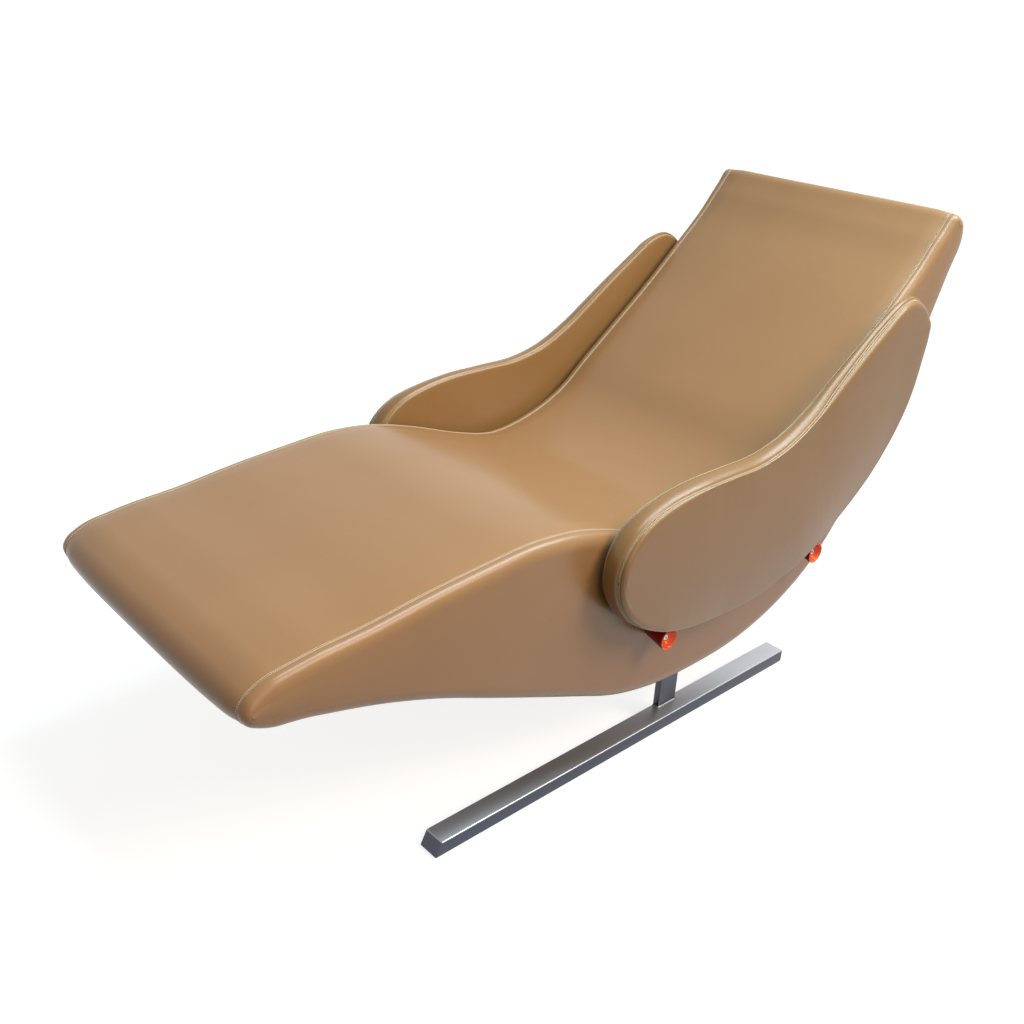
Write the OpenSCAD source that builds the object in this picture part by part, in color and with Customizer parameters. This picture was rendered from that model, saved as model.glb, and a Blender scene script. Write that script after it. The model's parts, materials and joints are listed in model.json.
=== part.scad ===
// A relaxation lounger: an upholstered wave-shaped body on two skid frames,
// with a padded wing on each side that hangs on two bell-shaped cups.
// Feet lie towards -X and the head towards +X, the floor is at z = 0.
// Left and right are those of the person lying on it, so left is -Y.

/* [Body] */
// Length of the body from the foot nose to the head edge
body_l = 1750; // [1600:10:1900]
// Height of the body's side outline, from the belly to the head corner
body_h = 846; // [800:2:900]
// Width of the body between its two edge seams
body_w = 600; // [540:5:660]
// Clear height of the belly above the floor
belly_clear = 130; // [110:5:170]

/* [Upholstery] */
// Thickness of the seat's foam and leather
seat_pad_t = 32; // [26:1:36]
// Thickness of the seat's foam where it wraps the foot nose
nose_pad_t = 17; // [12:1:20]
// Thickness of the seat's foam where it wraps the head edge
head_pad_t = 12; // [8:1:16]
// Crown of the seat across its width
seat_crown = 3; // [0:0.5:6]
// Crown of the foot nose across its width
nose_crown = 10; // [3:0.5:14]
// Depth by which the edge seams are drawn in
seam_dip = 3; // [1:0.5:5]
// Thickness of the side upholstery outside the seams
side_pad_t = 11; // [8:0.5:16]
// Height of the rolled shoulder of the side upholstery
side_roll = 26; // [16:1:30]

/* [Wooden frame] */
// Thickness of the two plywood ribs
rib_t = 24; // [18:1:30]
// Thickness of the bent plywood deck under the seat foam
deck_t = 8; // [6:1:10]
// Thickness of the covered panel that closes the belly and the back
belly_t = 8; // [6:1:10]
// Width of a cross rail
rail_w = 30; // [24:2:40]
// Height of a cross rail
rail_h = 56; // [46:2:64]

/* [Skid frames] */
// Width of a runner
runner_w = 45; // [35:1:60]
// Height of a runner bar
runner_h = 29; // [20:1:36]
// Reach of a runner from its post towards the foot end
runner_foot_l = 632; // [520:4:700]
// Reach of a runner from its post towards the head end
runner_head_l = 364; // [320:4:460]
// Slope of the runner's foot end, measured along the floor
runner_bevel = 14; // [0:1:24]
// Width of a post, along the body
post_w = 52; // [40:1:64]
// Thickness of a post, across the body
post_t = 15; // [12:1:20]
// Height of a post above the belly, inside the body
post_in = 116; // [104:2:126]
// Diameter of a glide
glide_d = 34; // [24:1:42]
// Height of a glide below the runner
glide_h = 6; // [3:0.5:10]

/* [Wings] */
// Length of a wing along the body
wing_l = 946; // [900:2:1000]
// Height of a wing from its lower edge to its upper edge
wing_h = 539; // [510:1:590]
// Height of the wing's lower edge above the belly
wing_rise = 162; // [148:1:180]
// Air gap between the side upholstery and the wing
wing_gap = 11; // [6:1:20]
// Thickness of the wing at its wide front end
wing_front_t = 55; // [46:1:62]
// Thickness of the wing at its head end
wing_tip_t = 28; // [24:1:34]
// Thickness of the wing's plywood board
wing_board_t = 8; // [6:1:10]
// Thickness of the wing's inner upholstery
wing_inner_t = 9; // [7:0.5:12]
// Width of the rolled edge of a wing
wing_roll = 15; // [8:1:18]

/* [Cups] */
// Diameter of a cup's rim
cup_rim_d = 45; // [38:1:50]
// Diameter of a cup's stem
cup_stem_d = 18; // [16:0.5:20]
// Length of a cup outside the side upholstery
cup_l = 52; // [44:1:56]

/* [Fasteners] */
// Diameter of the bolts of the mounting plates and the wings
bolt_d = 8; // [6:1:10]
// Diameter of the screw in a cup
cup_screw_d = 6; // [4:0.5:7]
// Thickness of a mounting plate
plate_t = 6; // [4:0.5:8]

/* [Hidden] */

// Overrun of a cutter past the face that it cuts
cut = 1;
// Clearance between a soft solid and its neighbour
soft_gap = 0.3;
// Radial clearance of a bolt in its hole, and of a tenon in its slot
bolt_gap = 0.4;
slot_gap = 0.2;
thread_gap = 0.1;
// Clearance of the posts in the belly panel
post_gap = 1.5;

// Side outline of the body: pairs of a point on the top and one on the underside,
// as shares of the body's length and height, from the foot nose to the head edge
nose_shares = [0.0000, 0.397];
pair_shares = [
    [[0.0045, 0.419], [0.0035, 0.374]],
    [[0.0175, 0.439], [0.0170, 0.354]],
    [[0.0540, 0.457], [0.0570, 0.335]],
    [[0.1240, 0.471], [0.1310, 0.295]],
    [[0.1940, 0.490], [0.1970, 0.247]],
    [[0.2510, 0.501], [0.2570, 0.193]],
    [[0.3070, 0.509], [0.3110, 0.145]],
    [[0.3660, 0.498], [0.3760, 0.088]],
    [[0.4250, 0.465], [0.4430, 0.033]],
    [[0.4910, 0.418], [0.5060, 0.006]],
    [[0.5490, 0.391], [0.5720, 0.000]],
    [[0.6070, 0.408], [0.6490, 0.011]],
    [[0.6660, 0.459], [0.7250, 0.056]],
    [[0.7130, 0.536], [0.7940, 0.140]],
    [[0.7660, 0.620], [0.8450, 0.254]],
    [[0.8220, 0.711], [0.8910, 0.372]],
    [[0.8770, 0.809], [0.9315, 0.544]],
    [[0.9200, 0.888], [0.9600, 0.715]],
    [[0.9550, 0.966], [0.9830, 0.846]],
    [[0.9720, 0.998], [0.9965, 0.936]]];
head_shares = [0.9880, 0.981];
// Points drawn on each span of an outline
span_steps = 3;
// How far the wraps of the foot nose and the head edge reach, as shares of the way along the outline
foot_wrap_share = 0.143;
head_wrap_share = 0.095;

// Side outline of a wing, in the same way, as shares of its length and height
wing_nose_shares = [0.000, 0.338];
wing_pair_shares = [
    [[0.009, 0.405], [0.005, 0.274]],
    [[0.035, 0.467], [0.024, 0.208]],
    [[0.077, 0.515], [0.067, 0.131]],
    [[0.125, 0.541], [0.136, 0.067]],
    [[0.210, 0.563], [0.225, 0.026]],
    [[0.315, 0.568], [0.331, 0.003]],
    [[0.410, 0.571], [0.443, 0.006]],
    [[0.495, 0.604], [0.548, 0.042]],
    [[0.574, 0.670], [0.653, 0.099]],
    [[0.653, 0.763], [0.720, 0.158]],
    [[0.727, 0.850], [0.807, 0.246]],
    [[0.801, 0.932], [0.883, 0.348]],
    [[0.854, 0.985], [0.940, 0.465]],
    [[0.901, 1.000], [0.974, 0.587]],
    [[0.943, 0.972], [0.991, 0.743]],
    [[0.975, 0.918], [0.995, 0.833]]];
wing_tip_shares = [0.990, 0.883];
// Front end of a wing along the body, and the post's centre, as shares of the body's length
wing_start_share = 0.384;
post_share = 0.560;

// Rolled edges: how far out and how far in a ring lies, as shares of the pad and the roll
edge_shares = [[0.00, 0.12], [0.34, 0.05], [0.68, 0.20], [0.90, 0.52], [1.00, 1.00]];
// Part of the roll that is left round the tightest ends
tight_roll_share = 0.45;
// Columns across the seat, as shares of its half width, and the one where the seam starts to draw in
column_shares = [-1, -0.965, -0.88, -0.5, 0, 0.5, 0.88, 0.965, 1];
dip_start_share = 0.88;
// Place along the wing from which its lower edge leans in too
lean_start_share = 0.56;

// The five cross rails: places as shares of the way along the outline
calf_share = 0.222;
knee_share = 0.349;
thigh_share = 0.444;
lumbar_share = 0.667;
back_share = 0.794;
rail_shares = [calf_share, knee_share, thigh_share, lumbar_share, back_share];
// Tenons of the rails, as shares of the rail
tenon_share = 0.6;

// Mounting plate between a post and a rib
plate_l = 168;
plate_h = 104;
plate_edge = 20;
// Cross beam between the posts
beam_w = 40;
beam_h = 60;
beam_wall = 3;
// Tenon of a post in its runner
post_tenon_h = 16;
post_shoulder = 4;
// Chamfer of a runner's long edges
runner_chamfer = 1.5;
// Glides: places along the runner as shares, edge chamfer and spigot
glide_shares = [0.06, 0.5, 0.94];
glide_chamfer = 1;
glide_spigot_d = 10;
glide_spigot_h = 9;

// Wing bolts: places as shares of the body's length, and of the way from its underside to its top
wing_bolt_shares = [[0.507, 0.713], [0.641, 0.712], [0.764, 0.666]];
spacer_d = 16;
// How far a wing's board stays inside the wing's outline, as a share of the roll
board_edge_share = 0.8;
// Cups: places as shares of the body's length, and how far each axis lies below the wing's lower edge
cup_place_shares = [0.4790, 0.7397];
cup_drops = [22, 20];
// Outer form of a cup from the stem to the rim, as shares of its length and rim radius
cup_form_shares = [[0.03, 0.52], [0.09, 0.60], [0.30, 0.68], [0.52, 0.78], [0.74, 0.89], [0.90, 0.97]];
// Bowl of a cup from its floor to the rim, in the same shares
bowl_form_shares = [[0.74, 0.38], [0.77, 0.52], [0.82, 0.63], [0.90, 0.74], [0.97, 0.83]];
rim_edge_shares = [[0.985, 0.99], [1.00, 0.94], [1.00, 0.88]];
pocket_gap = 1;

// Bolt heads, washers and nuts, as shares of the bolt
head_share = 0.82;
head_h_share = 0.6;
socket_share = 0.5;
socket_floor_share = 0.33;
barrel_share = 0.66;
flange_share = 1.2;
// Length of a tee nut in the rib, and depth of its hole, as shares of the rib
nut_share = 0.5;
nut_hole_share = 0.67;
flange_t = 1.6;
washer_t = 1.2;
washer_share = 0.98;
insert_share = 0.75;
insert_l = 14;

left = -1;
right = 1;
round_fn = 48;
cup_fn = 72;

// Outlines of the body and of a wing, from their own corners
body_shape = smooth_loop(sized(pair_loop(nose_shares, pair_shares, head_shares), body_l, body_h));
wing_shape =
    smooth_loop(sized(pair_loop(wing_nose_shares, wing_pair_shares, wing_tip_shares), wing_l, wing_h));

// Places that several pieces share
body_xs = [for (p = body_shape) p[0]];
foot_x = -(min(body_xs) + max(body_xs) - nose_crown) / 2;
rib_out = body_w / 2 - soft_gap;
rib_in = rib_out - rib_t;
plate_in = rib_in - plate_t;
post_inner = plate_in - post_t;
post_x = foot_x + post_share * body_l;
runner_top = glide_h + runner_h;
post_top = belly_clear + post_in;
plate_z = post_top - plate_h / 2 + plate_edge;
side_out = body_w / 2 + side_pad_t;
wing_in = side_out + wing_gap;
board_in = wing_in + wing_inner_t;
board_out = board_in + wing_board_t;
wing_x = foot_x + wing_start_share * body_l;
wing_z = belly_clear + wing_rise;
board_edge = board_edge_share * wing_roll;
nut_barrel_d = 2 * barrel_share * bolt_d;
nut_flange_d = 2 * flange_share * bolt_d;
insert_d = 2 * insert_share * cup_screw_d;

// Curves

function wrap(j, n) = ((j % n) + n) % n;

function ease(t) = let (c = max(0, min(1, t))) c * c * (3 - 2 * c);

function mix(a, b, t) = a + (b - a) * t;

// Direction of a smooth closed curve at one of its control points
function heading(p, i) =
    let (n = len(p), a = p[i] - p[wrap(i - 1, n)], b = p[wrap(i + 1, n)] - p[i])
    (a * (norm(b) / norm(a)) + b * (norm(a) / norm(b))) / (norm(a) + norm(b));

// Point of the curve on the span after control point i
function span_point(p, i, t) =
    let (k = wrap(i + 1, len(p)), l = norm(p[k] - p[i]), t2 = t * t, t3 = t2 * t)
    (2 * t3 - 3 * t2 + 1) * p[i] + (t3 - 2 * t2 + t) * l * heading(p, i)
    + (3 * t2 - 2 * t3) * p[k] + (t3 - t2) * l * heading(p, k);

function smooth_loop(p) =
    [for (i = [0:len(p) - 1]) for (s = [0:span_steps - 1]) span_point(p, i, s / span_steps)];

// Clockwise loop of control points from pairs: over the top to the head, back underneath
function pair_loop(start, pairs, end) =
    concat([start], [for (p = pairs) p[0]], [end], [for (i = [len(pairs) - 1:-1:0]) pairs[i][1]]);

function sized(shares, l, h) = [for (s = shares) [s[0] * l, s[1] * h]];

// Point of a loop moved inwards along its normal
function inset(loop, j, t) =
    let (n = len(loop), d = loop[wrap(j + 1, n)] - loop[wrap(j - 1, n)])
    loop[wrap(j, n)] + t * [d[1], -d[0]] / norm(d);

// The same outlines in the lounger's frame
body_loop = [for (p = body_shape) p + [foot_x, belly_clear]];
wing_loop = [for (p = wing_shape) p + [wing_x, wing_z]];
body_half = len(body_loop) / 2;
wing_half = len(wing_loop) / 2;

// Station of the body's outline at a share of the way from the foot nose to the head tip
function station(share) = round(share * body_half);

foot_station = station(foot_wrap_share);
head_wrap = station(head_wrap_share);
head_station = body_half - head_wrap;

// Foam thickness at a station of the body's outline: thin round the two ends
function foam_t(j) =
    mix(2 * j < body_half ? nose_pad_t : head_pad_t, seat_pad_t,
        ease((j - foot_station / 2) / foot_station) * ease((body_half - j - head_wrap / 2) / foot_station));

// Crown at a station of the body's outline: full round the foot nose, none at the head edge
function crown(j) = let (k = abs(j))
    mix(mix(nose_crown, seat_crown, ease(k / foot_station)), 0, ease((k - head_station) / head_wrap));

// Share of the roll that fits at a station: less round the tight ends
function roll_share(j, half) = let (k = abs(wrap(j + half, 2 * half) - half))
    mix(tight_roll_share, 1, ease(min(k, half - k) / foot_station));

// Edges of the wing and the body as tables of height along X
wing_lower_edge = [for (k = [1:wing_half - 1]) wing_loop[2 * wing_half - k]];
body_top = [for (k = [1:head_station]) body_loop[k]];
body_underside = [for (k = [1:head_station]) body_loop[2 * body_half - k]];

function along_body(share) = foot_x + share * body_l;
function cup_x(i) = along_body(cup_place_shares[i]);
function cup_z(i) = lookup(cup_x(i), wing_lower_edge) - cup_drops[i];
function wing_bolt_at(i) = let (x = along_body(wing_bolt_shares[i][0]))
    [x, mix(lookup(x, body_underside), lookup(x, body_top), wing_bolt_shares[i][1])];

// Outer face of the wing at a station: it leans in towards the head end,
// along the top edge all the way and along the lower edge near the end only
function wing_face(j) =
    let (top = j <= wing_half, x = (wing_loop[wrap(j, 2 * wing_half)][0] - wing_x) / wing_l)
    wing_in + mix(wing_front_t, wing_tip_t,
        top ? x : ease((x - lean_start_share) / (1 - lean_start_share)));

// Lofts

// Triangles of a wall of rings with n points each, the rings running towards +Y
function wall_faces(rows, n) = [for (r = [0:rows - 2]) for (c = [0:n - 1])
    let (a = r * n + c, b = r * n + (c + 1) % n) each [[a, a + n, b + n], [a, b + n, b]]];

// Triangles of a flat cap, as a strip between the top and the underside of the loop
function cap_faces(n, first) = let (half = n / 2) [for (k = [0:half - 1])
    let (a = first + k, b = first + k + 1, c = first + wrap(-k - 1, n), d = first + wrap(-k, n))
    each concat(k < half - 1 ? [[a, b, c]] : [], k > 0 ? [[a, c, d]] : [])];

function flipped(faces) = [for (f = faces) [f[2], f[1], f[0]]];

// A pad with a flat back on the board or rib and a rolled edge
module pillow(loop, back_y, face_y, roll) {
    n = len(loop);
    rows = len(edge_shares);
    points = [for (e = edge_shares) for (j = [0:n - 1])
        let (p = inset(loop, j, e[1] * roll * roll_share(j, n / 2)))
        [p[0], mix(back_y, face_y[j], e[0]), p[1]]];
    polyhedron(points, concat(cap_faces(n, 0), wall_faces(rows, n), flipped(cap_faces(n, (rows - 1) * n))));
}

// A plate between two planes across the body, from an outline seen along +Y
module slab(y_low, y_high) {
    translate([0, y_high, 0]) rotate([90, 0, 0]) linear_extrude(y_high - y_low) children();
}

// A child built on the right side is carried to the given side
module on_side(side) {
    if (side == right) children();
    else mirror([0, 1, 0]) children();
}

// A round bar across the body between two planes
module bar(at, d, y_low, y_high, fn = round_fn) {
    translate([at[0], y_high, at[1]]) rotate([90, 0, 0]) cylinder(d = d, h = y_high - y_low, $fn = fn);
}

// Upholstery

seat_first = -foot_station;
seat_last = body_half + head_wrap;

module seat_pad() {
    half = body_w / 2 - soft_gap;
    n = len(column_shares) + 2;
    rows = seat_last - seat_first + 1;
    mid = (n - 3) / 2;
    rings = [for (j = [seat_first:seat_last]) each concat(
        [for (c = column_shares) let (p = inset(body_loop, j,
            seam_dip * ease((abs(c) - dip_start_share) / (1 - dip_start_share))
            - crown(j) * (1 - pow(c, 4)))) [p[0], c * half, p[1]]],
        [for (c = [1, -1]) let (p = inset(body_loop, j, foam_t(j))) [p[0], c * half, p[1]]])];
    cap = concat([for (c = [0:mid - 1]) [n - 1, c, c + 1]], [[n - 1, mid, n - 2]],
        [for (c = [mid:n - 4]) [n - 2, c, c + 1]]);
    far_cap = [for (f = cap) [for (i = f) i + (rows - 1) * n]];
    color("tan") polyhedron(rings, concat(flipped(cap), flipped(wall_faces(rows, n)), far_cap));
}

module side_pad(side) {
    color("peru") on_side(side) difference() {
        pillow(body_loop, body_w / 2, [for (j = body_loop) side_out], side_roll);
        for (i = [0:1]) bar([cup_x(i), cup_z(i)], cup_stem_d + 2 * soft_gap, rib_out, side_out + cut);
        for (i = [0:2]) bar(wing_bolt_at(i), spacer_d + 2 * soft_gap, rib_out, side_out + cut);
    }
}

// Outline of what lies inside the foam and the belly panel, between two stations
function core_outline(first, last, extra) = concat(
    [for (j = [first:last]) inset(body_loop, j, foam_t(j) + extra)],
    [for (j = [last:-1:first]) inset(body_loop, -j, belly_t)]);

module belly_panel() {
    stations = [foot_station:head_station];
    outline = concat([for (j = stations) body_loop[wrap(-j, 2 * body_half)]],
        [for (j = [head_station:-1:foot_station]) inset(body_loop, -j, belly_t)]);
    color("saddlebrown") difference() {
        slab(-rib_out, rib_out) polygon(outline);
        for (s = [left, right]) on_side(s)
            translate([post_x - post_w / 2 - post_gap, post_inner - post_gap, 0])
                cube([post_w + 2 * post_gap, post_t + 2 * post_gap, post_top]);
    }
}

// Wooden frame

function rail_centre(j) = (inset(body_loop, j, foam_t(j) + deck_t) + inset(body_loop, -j, belly_t)) / 2;
function rail_turn(j) = let (d = body_loop[j + 1] - body_loop[j - 1]) atan2(d[1], d[0]);

module rail_section(j, gap) {
    translate(rail_centre(j)) rotate(rail_turn(j))
        square([rail_w * tenon_share + 2 * gap, rail_h * tenon_share + 2 * gap], center = true);
}

module rib(side) {
    color("burlywood") on_side(side) difference() {
        slab(rib_in, rib_out) polygon(core_outline(foot_station, head_station, deck_t));
        for (s = rail_shares) slab(rib_in - cut, rib_out + cut) rail_section(station(s), slot_gap);
        for (p = plate_bolt_places) {
            bar(p, bolt_d + 2 * bolt_gap, rib_in - cut, rib_out + cut);
            bar(p, nut_barrel_d + 2 * slot_gap, rib_out - nut_hole_share * rib_t, rib_out + cut);
            bar(p, nut_flange_d + 2 * slot_gap, rib_out - flange_t, rib_out + cut);
        }
        for (i = [0:2]) bar(wing_bolt_at(i), bolt_d + 2 * bolt_gap, rib_in - cut, rib_out + cut);
        for (i = [0:1]) bar([cup_x(i), cup_z(i)], insert_d, rib_in - cut, rib_out + cut);
    }
}

module seat_deck() {
    outline = concat([for (j = [foot_station:head_station]) inset(body_loop, j, foam_t(j))],
        [for (j = [head_station:-1:foot_station]) inset(body_loop, j, foam_t(j) + deck_t)]);
    color("wheat") slab(-rib_out, rib_out) polygon(outline);
}

module foot_rail() {
    color("burlywood") slab(-rib_out, rib_out)
        polygon([for (j = [-foot_station:foot_station]) inset(body_loop, j, foam_t(j))]);
}

module head_rail() {
    color("burlywood") slab(-rib_out, rib_out)
        polygon([for (j = [head_station:seat_last]) inset(body_loop, j, foam_t(j))]);
}

module cross_rail(share) {
    j = station(share);
    color("tan") {
        slab(-rib_in, rib_in)
            translate(rail_centre(j)) rotate(rail_turn(j)) square([rail_w, rail_h], center = true);
        for (s = [left, right]) on_side(s) slab(rib_in, rib_out) rail_section(j, 0);
    }
}

// Skid frames

plate_bolt_places = [for (x = [-1, 1]) for (z = [-1, 1])
    [post_x + x * (plate_l / 2 - plate_edge), plate_z + z * (plate_h / 2 - plate_edge)]];

module mount_plate(side) {
    color("dimgray") on_side(side) difference() {
        translate([post_x - plate_l / 2, plate_in, plate_z - plate_h / 2]) cube([plate_l, plate_t, plate_h]);
        for (p = plate_bolt_places) bar(p, bolt_d + 2 * bolt_gap, plate_in - cut, rib_in + cut);
    }
}

module cross_beam() {
    color("dimgray") translate([post_x, 0, plate_z]) difference() {
        cube([beam_w, 2 * post_inner, beam_h], center = true);
        cube([beam_w - 2 * beam_wall, 2 * (post_inner + cut), beam_h - 2 * beam_wall], center = true);
    }
}

module post(side) {
    tenon = [post_w - 2 * post_shoulder, post_t - 2 * post_shoulder, post_tenon_h];
    color("slategray") on_side(side) translate([post_x - post_w / 2, post_inner, runner_top]) {
        cube([post_w, post_t, post_top - runner_top]);
        translate([post_shoulder, post_shoulder, -post_tenon_h]) cube(tenon);
    }
}

runner_first = post_x - runner_foot_l;
runner_last = post_x + runner_head_l;
function glide_x(i) = mix(runner_first + runner_bevel, runner_last, glide_shares[i]);

module runner(side) {
    profile = [[runner_first, glide_h], [runner_last, glide_h], [runner_last, runner_top - runner_chamfer],
        [runner_last - runner_chamfer, runner_top], [runner_first + runner_bevel, runner_top]];
    section = [[0, 0], [runner_w, 0], [runner_w, runner_h - runner_chamfer],
        [runner_w - runner_chamfer, runner_h], [runner_chamfer, runner_h], [0, runner_h - runner_chamfer]];
    color("silver") on_side(side) difference() {
        intersection() {
            slab(post_inner, post_inner + runner_w) polygon(profile);
            translate([runner_first, post_inner, glide_h]) rotate([90, 0, 90])
                linear_extrude(runner_last - runner_first) polygon(section);
        }
        translate([post_x - post_w / 2 + post_shoulder - slot_gap, post_inner + post_shoulder - slot_gap,
            runner_top - post_tenon_h - slot_gap])
            cube([post_w - 2 * (post_shoulder - slot_gap), post_t - 2 * (post_shoulder - slot_gap),
                post_tenon_h + slot_gap + cut]);
        for (i = [0:2]) translate([glide_x(i), post_inner + runner_w / 2, glide_h - cut])
            cylinder(d = glide_spigot_d + 2 * thread_gap, h = glide_spigot_h + 2 * cut, $fn = round_fn);
    }
}

module glides(side) {
    color("black") on_side(side) for (i = [0:2]) translate([glide_x(i), post_inner + runner_w / 2, 0]) {
        cylinder(d1 = glide_d - 2 * glide_chamfer, d2 = glide_d, h = glide_chamfer, $fn = round_fn);
        translate([0, 0, glide_chamfer]) cylinder(d = glide_d, h = glide_h - glide_chamfer, $fn = round_fn);
        translate([0, 0, glide_h]) cylinder(d = glide_spigot_d, h = glide_spigot_h, $fn = round_fn);
    }
}

// Fasteners: each stands on its axis with the underside of its head at z = 0

module bolt(d, l) {
    difference() {
        union() {
            cylinder(r = head_share * d, h = head_h_share * d, $fn = round_fn);
            translate([0, 0, -l]) cylinder(d = d, h = l, $fn = round_fn);
        }
        translate([0, 0, socket_floor_share * head_h_share * d])
            cylinder(r = socket_share * d, h = d, $fn = 6);
    }
}

module tee_nut(d, l) {
    difference() {
        union() {
            cylinder(r = flange_share * d, h = flange_t, $fn = round_fn);
            translate([0, 0, -l]) cylinder(r = barrel_share * d, h = l, $fn = round_fn);
        }
        translate([0, 0, -l - cut])
            cylinder(d = d + 2 * thread_gap, h = l + flange_t + 2 * cut, $fn = round_fn);
    }
}

// An axis across the body at a place, with +Z turned towards the body's middle or outwards
module facing_in(at, y) {
    translate([at[0], y, at[1]]) rotate([90, 0, 0]) children();
}

module facing_out(at, y) {
    translate([at[0], y, at[1]]) rotate([-90, 0, 0]) children();
}

module plate_bolts() {
    color("gray") for (s = [left, right]) on_side(s) for (p = plate_bolt_places)
        facing_in(p, plate_in) bolt(bolt_d, plate_t + rib_t - flange_t);
}

module plate_nuts() {
    color("darkgray") for (s = [left, right]) on_side(s) for (p = plate_bolt_places)
        facing_out(p, rib_out - flange_t) tee_nut(bolt_d, nut_share * rib_t);
}

// Wings

module cup_pocket(i) {
    facing_out([cup_x(i), cup_z(i)], side_out) {
        rotate_extrude($fn = cup_fn) polygon(concat([[0, 0]],
            [for (s = cup_form_shares) [s[1] * cup_rim_d / 2 + pocket_gap, s[0] * cup_l]],
            [[cup_rim_d / 2 + pocket_gap, cup_l + pocket_gap], [0, cup_l + pocket_gap]]));
        cylinder(d = cup_stem_d + 2 * pocket_gap, h = cup_l, $fn = cup_fn);
    }
}

module wing_board(side) {
    color("burlywood") on_side(side) difference() {
        slab(board_in, board_out) polygon([for (j = [0:2 * wing_half - 1]) inset(wing_loop, j, board_edge)]);
        for (i = [0:2])
            bar(wing_bolt_at(i), nut_barrel_d + 2 * slot_gap, board_in - cut, board_out + cut);
        for (i = [0:1]) cup_pocket(i);
    }
}

module wing_inner_pad(side) {
    color("peru") on_side(side) difference() {
        mirrored_pillow(board_in - soft_gap, wing_in);
        for (i = [0:2]) bar(wing_bolt_at(i), spacer_d + 2 * soft_gap, wing_in - cut, board_in + cut);
        for (i = [0:1]) cup_pocket(i);
    }
}

// The inner pad is the outer pad's form turned about the board's inner face
module mirrored_pillow(back_y, face_y) {
    translate([0, back_y, 0]) mirror([0, 1, 0])
        pillow(wing_loop, 0, [for (j = wing_loop) back_y - face_y], wing_roll);
}

module wing_outer_pad(side) {
    color("tan") on_side(side) difference() {
        pillow(wing_loop, board_in, [for (j = [0:2 * wing_half - 1]) wing_face(j)], wing_roll);
        slab(board_in - cut, board_out + soft_gap)
            polygon([for (j = [0:2 * wing_half - 1]) inset(wing_loop, j, board_edge - soft_gap)]);
        for (i = [0:2])
            bar(wing_bolt_at(i), nut_flange_d + 2 * soft_gap, board_in, board_out + flange_t + 2 * soft_gap);
        for (i = [0:1]) cup_pocket(i);
    }
}

module wing_spacers(side) {
    color("gray") on_side(side) for (i = [0:2]) difference() {
        bar(wing_bolt_at(i), spacer_d, rib_out, board_in);
        bar(wing_bolt_at(i), bolt_d + 2 * bolt_gap, rib_out - cut, board_in + cut);
    }
}

module wing_bolts(side) {
    color("gray") on_side(side) for (i = [0:2])
        facing_in(wing_bolt_at(i), rib_in) bolt(bolt_d, board_out - rib_in);
}

module wing_nuts(side) {
    color("darkgray") on_side(side) for (i = [0:2])
        facing_out(wing_bolt_at(i), board_out) tee_nut(bolt_d, wing_board_t);
}

// Cups

module cup(i, side) {
    seat_z = bowl_form_shares[0][0] * cup_l;
    screw_r = cup_screw_d / 2 + bolt_gap;
    spigot_l = side_out - rib_out;
    form = concat([[screw_r, -spigot_l], [cup_stem_d / 2, -spigot_l], [cup_stem_d / 2, 0]],
        [for (s = cup_form_shares) [max(s[1] * cup_rim_d / 2, cup_stem_d / 2), s[0] * cup_l]],
        [for (s = rim_edge_shares) [s[1] * cup_rim_d / 2, s[0] * cup_l]],
        [for (k = [len(bowl_form_shares) - 1:-1:0])
            let (s = bowl_form_shares[k]) [s[1] * cup_rim_d / 2, s[0] * cup_l]],
        [[screw_r, seat_z]]);
    color("orangered") on_side(side) facing_out([cup_x(i), cup_z(i)], side_out)
        rotate_extrude($fn = cup_fn) polygon(form);
}

cup_seat_y = side_out + bowl_form_shares[0][0] * cup_l;

module each_cup() {
    for (s = [left, right]) on_side(s) for (i = [0:1]) translate([cup_x(i), 0, cup_z(i)]) children();
}

module cup_washers() {
    color("silver") each_cup() difference() {
        bar([0, 0], 2 * washer_share * cup_screw_d, cup_seat_y, cup_seat_y + washer_t);
        bar([0, 0], cup_screw_d + 2 * bolt_gap, cup_seat_y - cut, cup_seat_y + washer_t + cut);
    }
}

module cup_screws() {
    color("lightgray") each_cup() facing_out([0, 0], cup_seat_y + washer_t)
        bolt(cup_screw_d, cup_seat_y + washer_t - rib_out + insert_l);
}

module cup_inserts() {
    color("gold") each_cup() difference() {
        bar([0, 0], insert_d, rib_out - insert_l, rib_out);
        bar([0, 0], cup_screw_d + 2 * thread_gap, rib_out - insert_l - cut, rib_out + cut);
    }
}

seat_pad();
side_pad(left);  // side_pad_left
side_pad(right);  // side_pad_right
belly_panel();
rib(left);  // rib_left
rib(right);  // rib_right
seat_deck();
foot_rail();
head_rail();
cross_rail(calf_share);  // calf_rail
cross_rail(knee_share);  // knee_rail
cross_rail(thigh_share);  // thigh_rail
cross_rail(lumbar_share);  // lumbar_rail
cross_rail(back_share);  // back_rail
cross_beam();
mount_plate(left);  // mount_plate_left
mount_plate(right);  // mount_plate_right
plate_bolts();
plate_nuts();
post(left);  // post_left
post(right);  // post_right
runner(left);  // runner_left
runner(right);  // runner_right
glides(left);  // glides_left
glides(right);  // glides_right
wing_board(left);  // wing_board_left
wing_board(right);  // wing_board_right
wing_inner_pad(left);  // wing_inner_pad_left
wing_inner_pad(right);  // wing_inner_pad_right
wing_outer_pad(left);  // wing_outer_pad_left
wing_outer_pad(right);  // wing_outer_pad_right
wing_spacers(left);  // wing_spacers_left
wing_spacers(right);  // wing_spacers_right
wing_bolts(left);  // wing_bolts_left
wing_bolts(right);  // wing_bolts_right
wing_nuts(left);  // wing_nuts_left
wing_nuts(right);  // wing_nuts_right
cup(0, left);  // cup_front_left
cup(0, right);  // cup_front_right
cup(1, left);  // cup_rear_left
cup(1, right);  // cup_rear_right
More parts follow.
